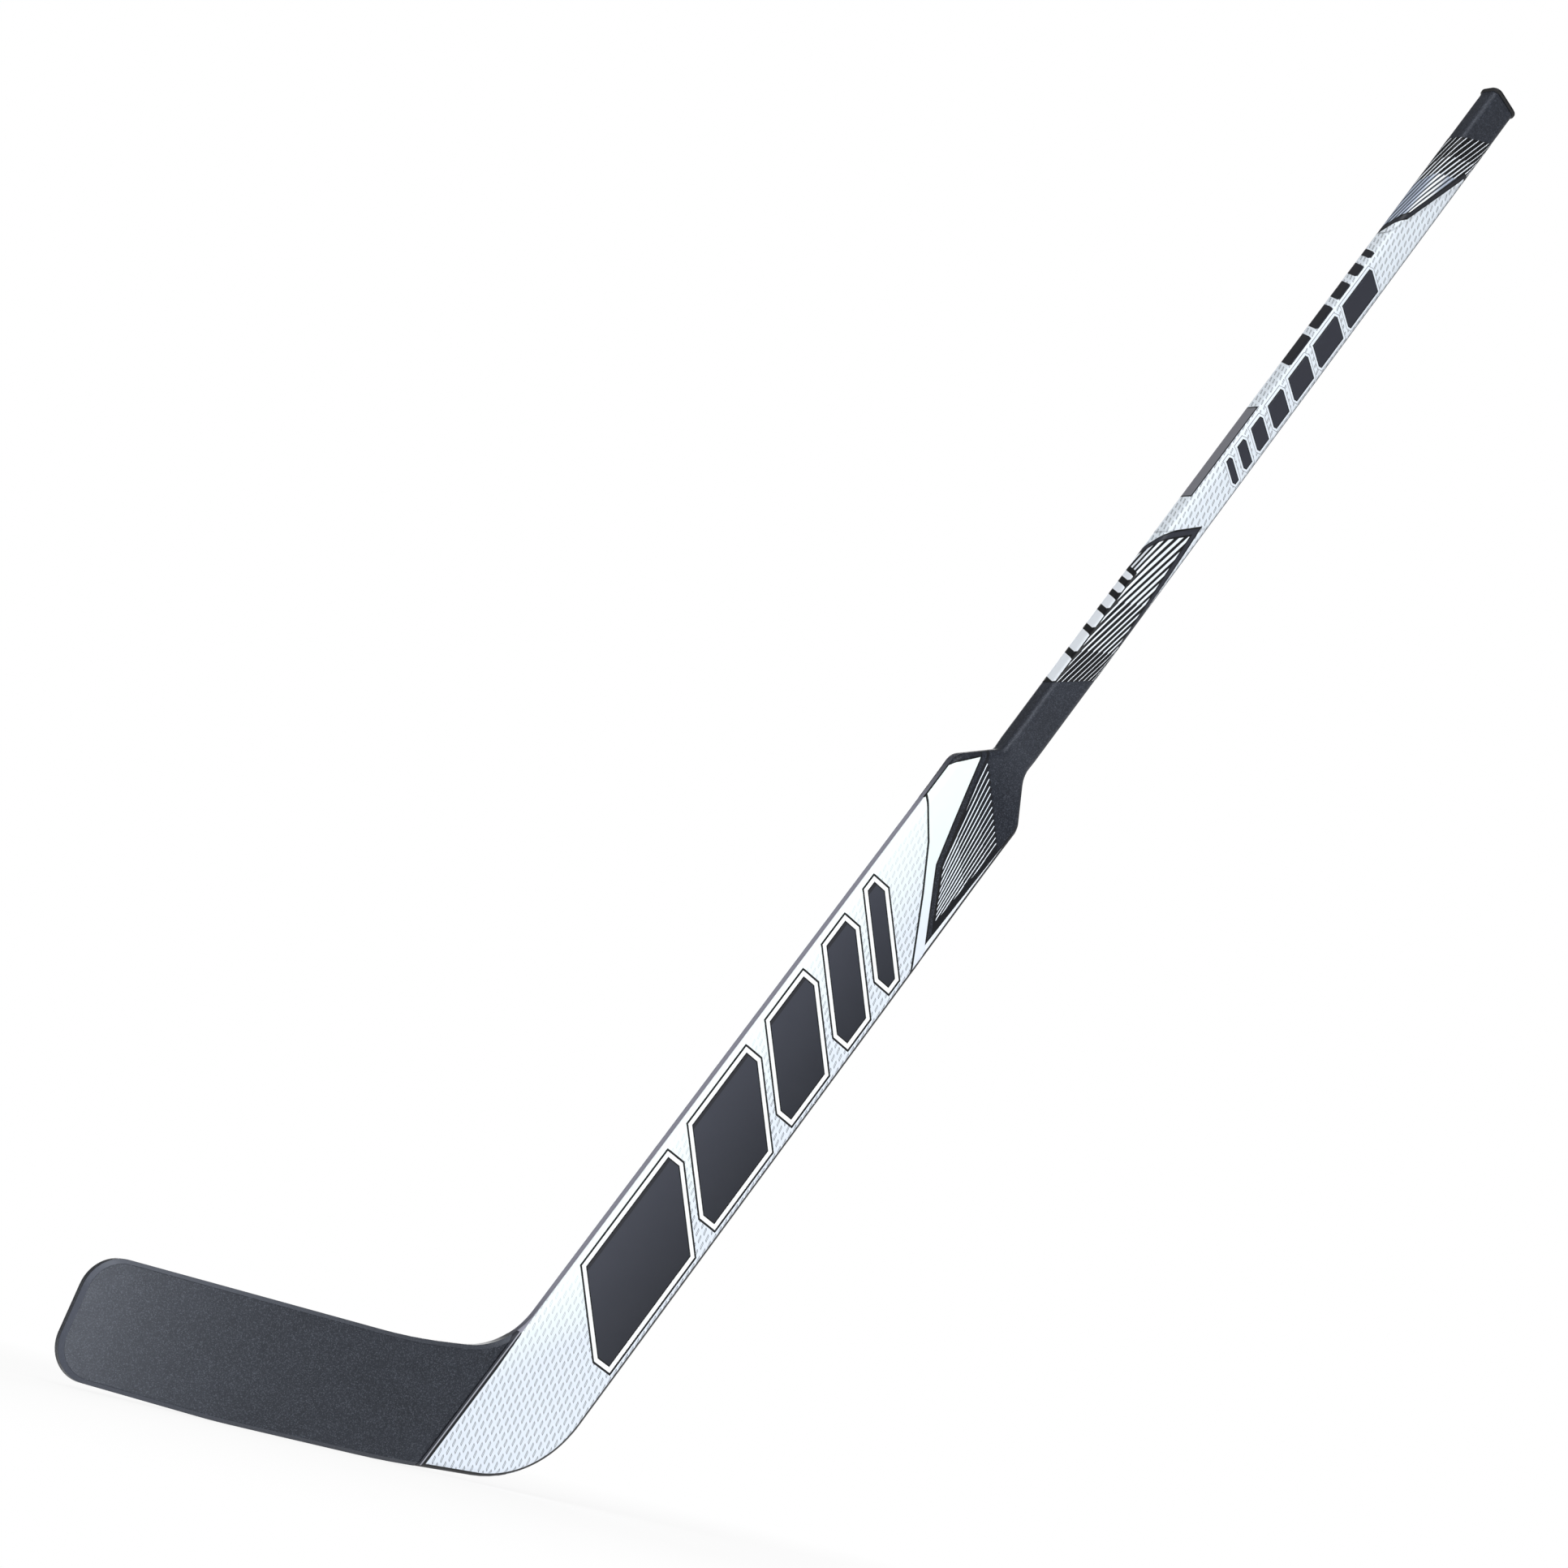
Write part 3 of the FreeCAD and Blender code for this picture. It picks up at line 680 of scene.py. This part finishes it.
def core_foam():
    made, tree = finish_named("rigid core foam")
    cells = node(tree, "TexVoronoi", node(tree, "TexCoord", out=3), named={"Scale": mm_per_metre / foam_cell})
    colour = faded(tree, cells, "#c9b98d", "#e3d8b4", start=0.0, end=0.7)
    coat_over(tree, colour, roughness=0.85, grain=cells, relief=0.8)
    return made


# Heel filler: resin filled with chopped fibre, mid grey with short pale strands.
strand_width = 1.5
strand_squeeze = (1.0, 1.0, 0.2)


def heel_filler():
    made, tree = finish_named("fibre filled resin")
    spot = node(tree, "Mapping", node(tree, "TexCoord", out=3), vector_type="POINT",
                named={"Scale": strand_squeeze})
    strands = node(tree, "TexNoise", spot, named={"Scale": mm_per_metre / strand_width, "Detail": 2.0})
    colour = faded(tree, strands, "#55585c", "#8b8e90", start=0.45, end=0.62)
    coat_over(tree, colour, roughness=0.6, grain=strands, relief=0.5)
    return made


# Bare carbon laminate inside: a two by two twill of 2 mm tows, dark with a silky sheen.
tow_width = 2.0
twill_repeat = 4.0
twill_over = 1.5
tow_gloss = (0.32, 0.45)


def bare_laminate():
    made, tree = finish_named("bare twill carbon")
    across, _, up = stick_place(tree)
    column = node(tree, "Math", node(tree, "Math", across, tow_width, operation="DIVIDE"), operation="FLOOR")
    row = node(tree, "Math", node(tree, "Math", up, tow_width, operation="DIVIDE"), operation="FLOOR")
    turn = node(tree, "Math", node(tree, "Math", column, row, operation="ADD"), twill_repeat,
                operation="FLOORED_MODULO")
    over = node(tree, "Math", turn, twill_over, operation="GREATER_THAN")
    colour = faded(tree, over, "#1c1d20", "#303238", start=0.0, end=1.0)
    gloss = node(tree, "MapRange", over, 0.0, 1.0, *tow_gloss)
    coat_over(tree, colour, gloss, over, relief=0.3)
    return made


wrapped_film = shaft_print()
finishes = {
    "shaft_laminate": shaft_laminate(),
    "paddle_laminate": paddle_laminate(),
    "blade_laminate": blade_laminate(),
    "inner_laminate": bare_laminate(),
    "core_foam": core_foam(),
    "heel_filler": heel_filler(),
    "plug_plastic": plug_plastic(),
    "paddle_film": paddle_print(),
    "lower_shaft_film": wrapped_film,
    "main_shaft_film": wrapped_film,
    "top_shaft_film": wrapped_film,
}
slot_nodes = {
    "shaft_laminate": ("shaft_tube",),
    "paddle_laminate": ("paddle_front_skin", "paddle_back_skin"),
    "blade_laminate": ("blade_front_skin", "blade_back_skin"),
    "inner_laminate": ("blade_tongue", "blade_rib"),
    "core_foam": ("shaft_foam", "paddle_core_toe_side", "paddle_core_heel_side", "paddle_core_middle",
                  "blade_core_lower", "blade_core_upper"),
    "heel_filler": ("heel_block",),
    "plug_plastic": ("butt_plug",),
    "paddle_film": ("paddle_back_film", "paddle_front_film"),
    "lower_shaft_film": ("shaft_lower_film",),
    "main_shaft_film": ("shaft_main_film",),
    "top_shaft_film": ("shaft_top_film",),
}
for slot, names in slot_nodes.items():
    for name in names:
        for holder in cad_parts[name].material_slots:
            holder.material = finishes[slot]


# Floor, light and camera

def sight_rays(tree):
    """Whether a ray comes from the camera, a reflection or clear material, and whether from the camera."""
    path = node(tree, "LightPath").node.outputs
    rays = [path[name] for name in ("Is Camera Ray", "Is Glossy Ray", "Is Transmission Ray")]
    return joined(tree, rays, "MAXIMUM"), rays[0]


white_light = ink("#ffffff")

# The floor, in metres: its size, its gap below the sole, and where it goes from soft shadow to white.
floor_half = 30.0
floor_gap = 0.0002
shadow_middle = (0.05, 0.0, 0.0)
shadow_reach = (0.35, 1.1)
glow_share = (0.85, 1.0)


def pale_floor():
    """A plain pale floor that is white from afar and keeps the stick's soft shadow near it."""
    level = cad_box[0][2] - floor_gap
    corners = [(-1.0, -1.0), (1.0, -1.0), (1.0, 1.0), (-1.0, 1.0)]
    mesh = bpy.data.meshes.new("pale_floor")
    mesh.from_pydata([(x * floor_half, y * floor_half, level) for x, y in corners], [], [(0, 1, 2, 3)])
    floor = bpy.data.objects.new("pale_floor", mesh)
    bpy.context.collection.objects.link(floor)
    made, tree = finish_named("pale studio floor")
    seen, _ = sight_rays(tree)
    spread = node(tree, "VectorMath", node(tree, "TexCoord", out=3), shadow_middle, out=1,
                  operation="DISTANCE")
    away = node(tree, "MapRange", spread, *shadow_reach, *glow_share)
    glow = node(tree, "Emission", white_light, 1.0)
    matt = node(tree, "BsdfDiffuse", ink("#f4f4f4"))
    shown = node(tree, "MixShader", node(tree, "Math", seen, away, operation="MULTIPLY"), matt, glow)
    node(tree, "OutputMaterial", shown)
    mesh.materials.append(made)


# The walls that a gloss sees go from bright near the floor to dimmer above.
wall_rise = (0.10, 0.45)
wall_light = (0.50, 0.20)


def white_room(ambient):
    """A white surround: even light on the stick, softer walls in its gloss, and plain white past it."""
    room = bpy.data.worlds.new("white_room")
    bpy.context.scene.world = room
    room.use_nodes = True
    tree = room.node_tree
    tree.nodes.clear()
    seen, from_camera = sight_rays(tree)
    toward = node(tree, "SeparateXYZ", node(tree, "TexCoord", out=0), out=2)
    walls = node(tree, "MapRange", toward, *wall_rise, *wall_light)
    white = node(tree, "Math", walls, from_camera, operation="MAXIMUM")
    level = node(tree, "MapRange", seen, 0.0, 1.0, ambient, white)
    node(tree, "OutputWorld", node(tree, "Background", white_light, level))


def soft_lamp(name, spot, target, size, watts):
    """A large square lamp turned toward a point of the stick."""
    lamp = bpy.data.lights.new(name, "AREA")
    lamp.size = size
    lamp.energy = watts
    holder = bpy.data.objects.new(name, lamp)
    holder.location = spot
    holder.rotation_euler = (Vector(target) - Vector(spot)).to_track_quat("-Z", "Y").to_euler()
    bpy.context.collection.objects.link(holder)


pale_floor()
white_room(ambient=0.45)
soft_lamp("left_lamp", spot=(-2.6, -1.8, 1.9), target=(0.3, 0.0, 0.6), size=1.8, watts=33.0)
soft_lamp("low_front_lamp", spot=(0.2, -2.9, 0.2), target=(-0.1, 0.0, 0.1), size=0.38, watts=31.5)
soft_lamp("upper_lamp", spot=(-0.7, -1.3, 3.1), target=(0.5, 0.0, 0.8), size=1.9, watts=28.0)
soft_lamp("back_lamp", spot=(2.2, 2.6, 1.2), target=(0.3, 0.0, 0.6), size=2.2, watts=40.0)

# The camera stands where the photograph was taken from: low, in front of the toe, tipped to one side.
right = Vector((0.75643126, -0.60829279, 0.24039890))
upward = Vector((-0.28808281, 0.02012456, 0.95739401))
backward = Vector((-0.58721380, -0.79345755, -0.16001585))
stand = Vector((-1.466700, -2.338257, 0.064305))
view = bpy.data.cameras.new("view")
view.sensor_fit = "HORIZONTAL"
view.sensor_width = 36.0
view.lens = 93.1677
view.clip_end = 100.0
camera = bpy.data.objects.new("view", view)
camera.matrix_world = Matrix((
    (right.x, upward.x, backward.x, stand.x),
    (right.y, upward.y, backward.y, stand.y),
    (right.z, upward.z, backward.z, stand.z),
    (0.0, 0.0, 0.0, 1.0),
))
bpy.context.collection.objects.link(camera)
bpy.context.scene.camera = camera
bpy.context.scene.view_settings.view_transform = "Standard"
